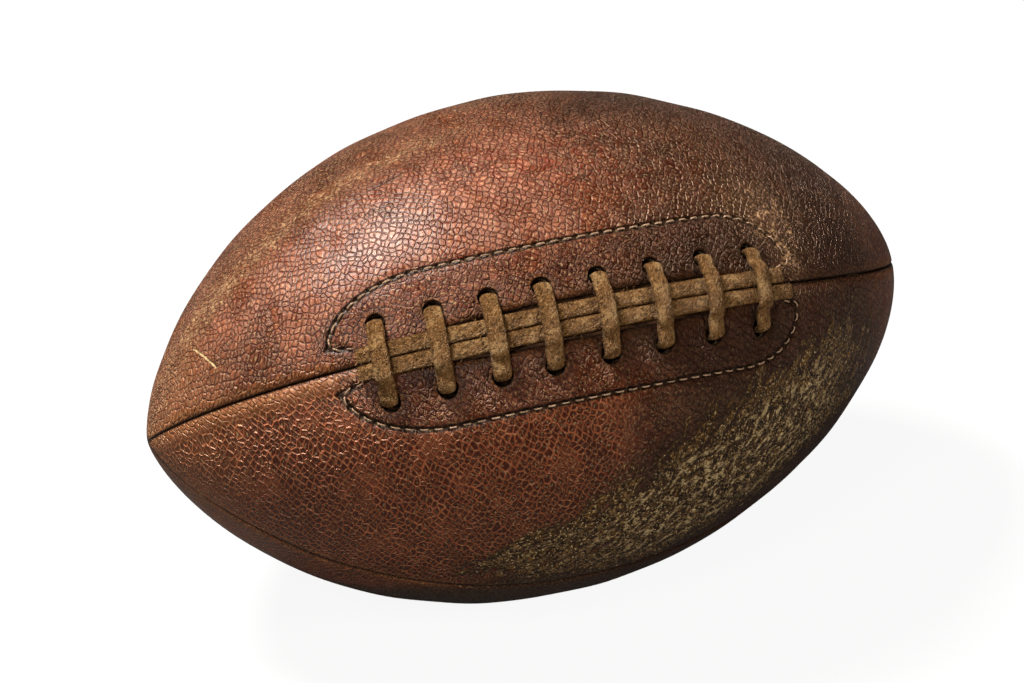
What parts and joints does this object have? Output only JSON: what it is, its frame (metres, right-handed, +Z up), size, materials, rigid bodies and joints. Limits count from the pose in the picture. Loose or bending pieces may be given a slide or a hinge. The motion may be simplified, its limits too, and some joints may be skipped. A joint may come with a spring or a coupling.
{
  "type": "deflated football",
  "caption": "Worn laced leather football, slack and lying on its side: sewn leather panels, a lace over flat strips, linings and a rubber bladder.",
  "frame": {"origin": "on the floor, in the middle of the flat spot that the ball rests on, below the middle of its length", "axes": "+X along the ball's long axis, +Z up, the lacing faces -Y and up"},
  "size_m": [0.2838, 0.1761, 0.1722],
  "materials": {
    "panel_leather": "pebbled, worn and muddy",
    "lining_cloth": "coarse canvas",
    "facing_leather": "flesh side out, matt",
    "lace_leather": "dry, dirty rawhide",
    "stitch_thread": "waxed linen thread",
    "seam_thread": "waxed linen thread",
    "bladder_rubber": "old natural rubber"
  },
  "bodies": {
    "root": {"panel_upper_front": "panel_leather", "panel_lower_front": "panel_leather", "panel_back": "panel_leather", "panel_bottom": "panel_leather", "lining_upper_front": "lining_cloth", "lining_lower_front": "lining_cloth", "lining_back": "lining_cloth", "lining_bottom": "lining_cloth", "facing_upper": "facing_leather", "facing_lower": "facing_leather", "lace_tongue": "facing_leather", "cross_lace": "lace_leather", "lace_strip_upper": "lace_leather", "lace_strip_lower": "lace_leather", "facing_stitches_upper": "stitch_thread", "facing_stitches_lower": "stitch_thread", "seam_thread_top": "seam_thread", "seam_thread_back": "seam_thread", "seam_thread_lower": "seam_thread", "seam_thread_lace_left": "seam_thread", "seam_thread_lace_right": "seam_thread", "bladder": "bladder_rubber", "neck_tie": "seam_thread"}
  },
  "joints": []
}
